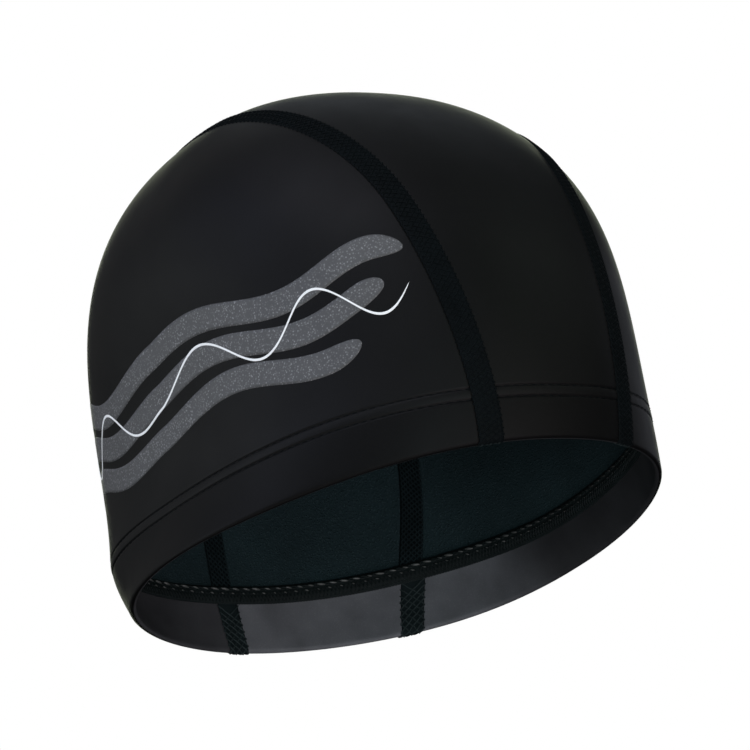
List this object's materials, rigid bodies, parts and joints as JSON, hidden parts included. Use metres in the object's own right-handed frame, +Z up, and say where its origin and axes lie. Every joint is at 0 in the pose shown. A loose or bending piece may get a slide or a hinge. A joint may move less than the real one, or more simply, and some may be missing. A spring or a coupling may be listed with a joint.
{
  "type": "swim cap",
  "caption": "Sewn swim cap of coated stretch cloth: side panels and a centre panel joined by flat seam bands, with a folded hem stitched inside.",
  "frame": {"origin": "middle of the rim's opening, in the plane of the rim's lowest edge, where the head goes in", "axes": "+Z up from the rim to the crown, -Y to the wearer's front, +X to the wearer's left"},
  "size_m": [0.165, 0.1976, 0.1535],
  "materials": {
    "coated_cloth": "matte",
    "seam_thread": "matte",
    "stitch_thread": "matte"
  },
  "bodies": {
    "root": {"right_side_panel": "coated_cloth", "centre_panel": "coated_cloth", "left_side_panel": "coated_cloth", "right_seam": "seam_thread", "left_seam": "seam_thread", "hem_stitch_band": "stitch_thread"}
  },
  "joints": []
}
